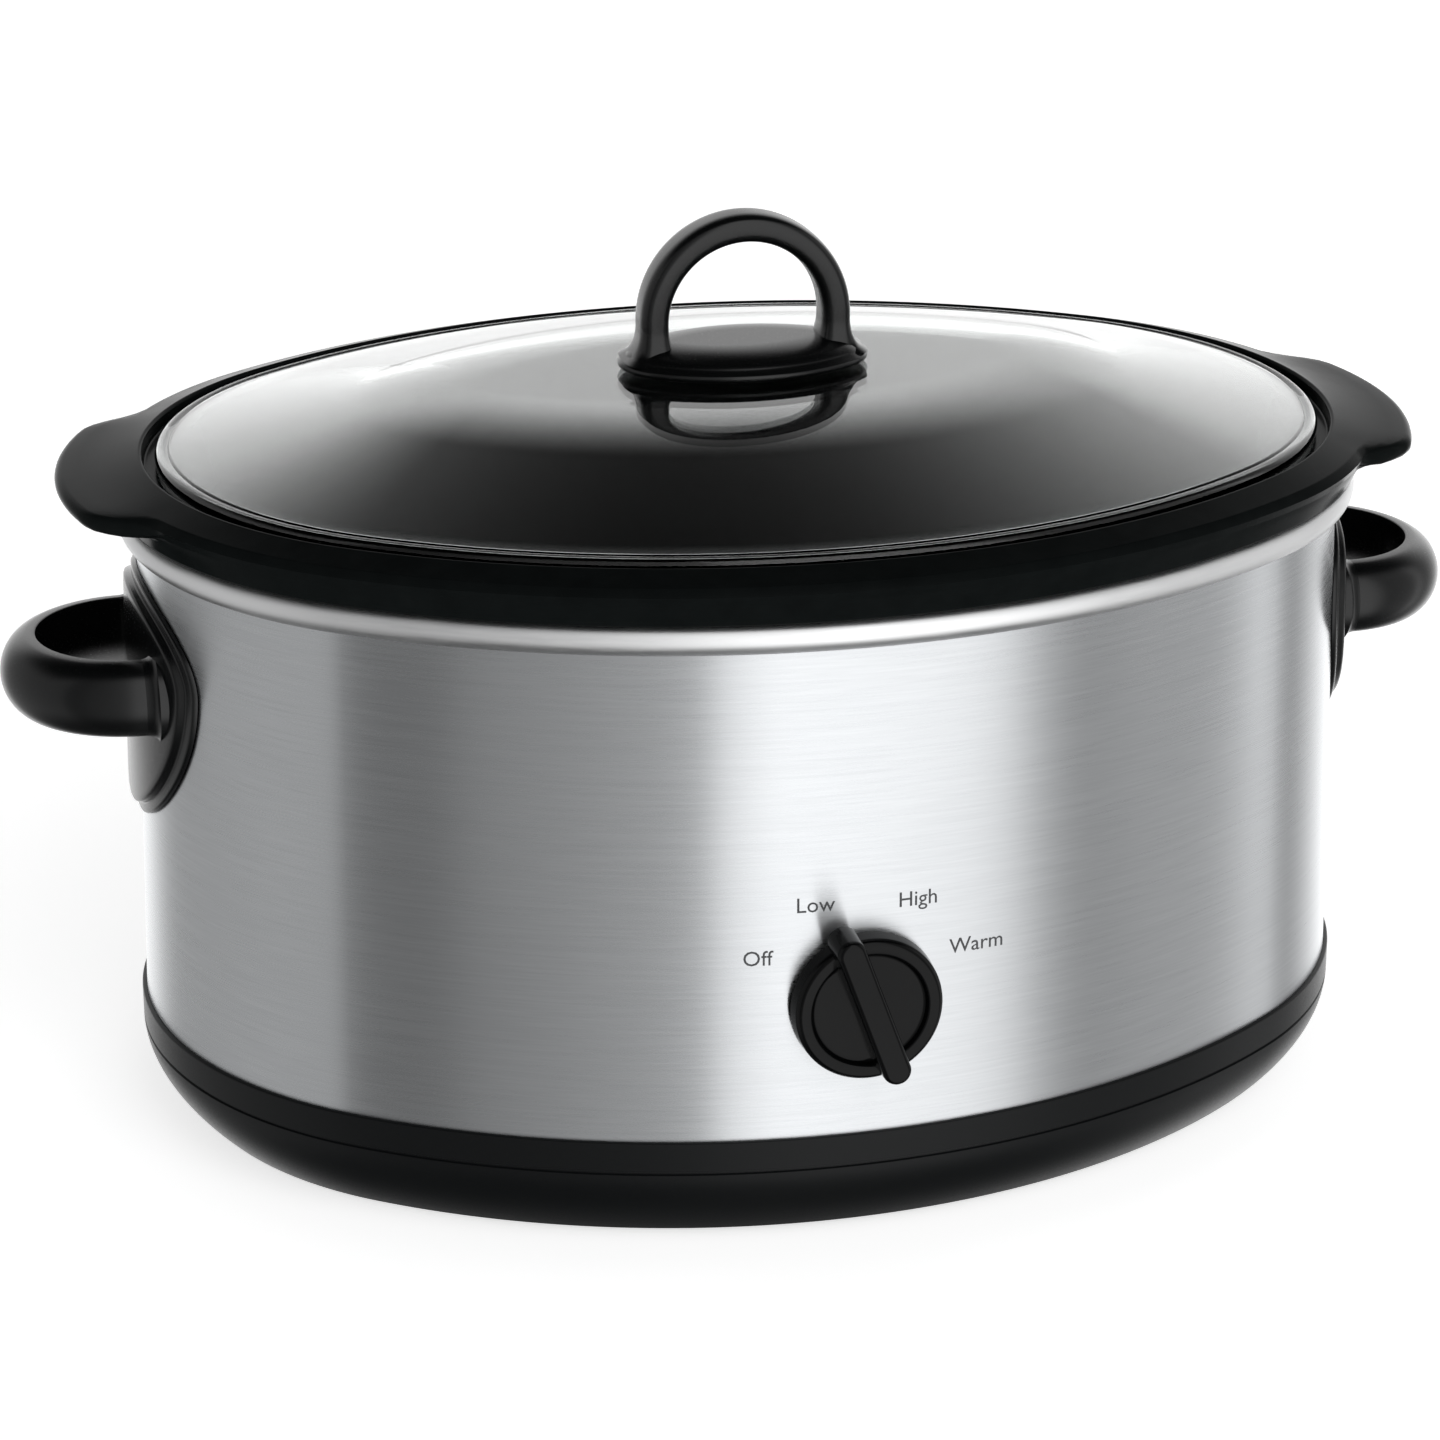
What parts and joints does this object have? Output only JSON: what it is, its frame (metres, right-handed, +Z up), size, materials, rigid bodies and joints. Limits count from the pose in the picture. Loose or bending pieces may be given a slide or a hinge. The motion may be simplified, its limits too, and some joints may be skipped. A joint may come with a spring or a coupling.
{
  "type": "slow cooker",
  "caption": "Oval electric slow cooker: lift-out glazed stoneware insert, domed glass lid, brushed steel wrap, side handles and a rotary control.",
  "frame": {"origin": "centre of the body's oval plan, on the surface that the feet stand on", "axes": "+X to the right along the long side, -Y out of the front where the knob is, +Z up"},
  "size_m": [0.4138, 0.2825, 0.2485],
  "materials": {
    "black_glaze": "gloss",
    "clear_glass": "clear",
    "black_phenolic": "satin",
    "gloss_black": "gloss",
    "silicone": "matt",
    "zinc_steel": "plated",
    "brushed_steel": "brushed",
    "liner_steel": "satin",
    "mica_band": "matt",
    "switch_resin": "matt",
    "brass": "plain",
    "nylon": "matt",
    "lead_red": "matt",
    "lead_grey": "matt",
    "lead_black": "matt",
    "lead_white": "matt"
  },
  "bodies": {
    "housing": {"outer_wrap": "brushed_steel", "heating_liner": "liner_steel", "liner_stud": "zinc_steel", "heater_band": "mica_band", "band_springs": "zinc_steel", "thermal_cutout": "zinc_steel", "heat_shield": "liner_steel", "moulded_base": "black_phenolic", "base_washer": "zinc_steel", "base_nut": "zinc_steel", "rubber_feet": "silicone", "left_handle": "black_phenolic", "right_handle": "black_phenolic", "left_handle_screws": "zinc_steel", "right_handle_screws": "zinc_steel", "switch_housing": "switch_resin", "switch_cover": "switch_resin", "switch_nut": "zinc_steel", "switch_terminals": "brass", "detent_leaf": "zinc_steel", "spade_connectors": "nylon", "live_lead": "lead_black", "low_lead": "lead_red", "high_lead": "lead_grey", "neutral_lead": "lead_white", "splice_caps": "nylon", "cord_gland": "black_phenolic", "gland_nut": "nylon"},
    "insert": {"stoneware_insert": "black_glaze"},
    "lid": {"glass_lid": "clear_glass", "lid_handle": "black_phenolic", "lid_gasket": "silicone", "lid_washer": "zinc_steel", "lid_screw": "zinc_steel"},
    "knob": {"control_knob": "gloss_black", "knob_clip": "zinc_steel", "switch_shaft": "brass"}
  },
  "joints": [
    {"name": "insert_lift", "type": "slide", "parent": "housing", "child": "insert", "axis": [0, 0, 1], "range_m": [0, 0.15]},
    {"name": "lid_lift", "type": "slide", "parent": "insert", "child": "lid", "axis": [0, 0, 1], "range_m": [0, 0.1]},
    {"name": "knob_turn", "type": "hinge", "parent": "housing", "child": "knob", "pos_m": [0, -0.12845, 0.0704], "axis": [0, -1, 0], "range_deg": [-80, 40]}
  ]
}
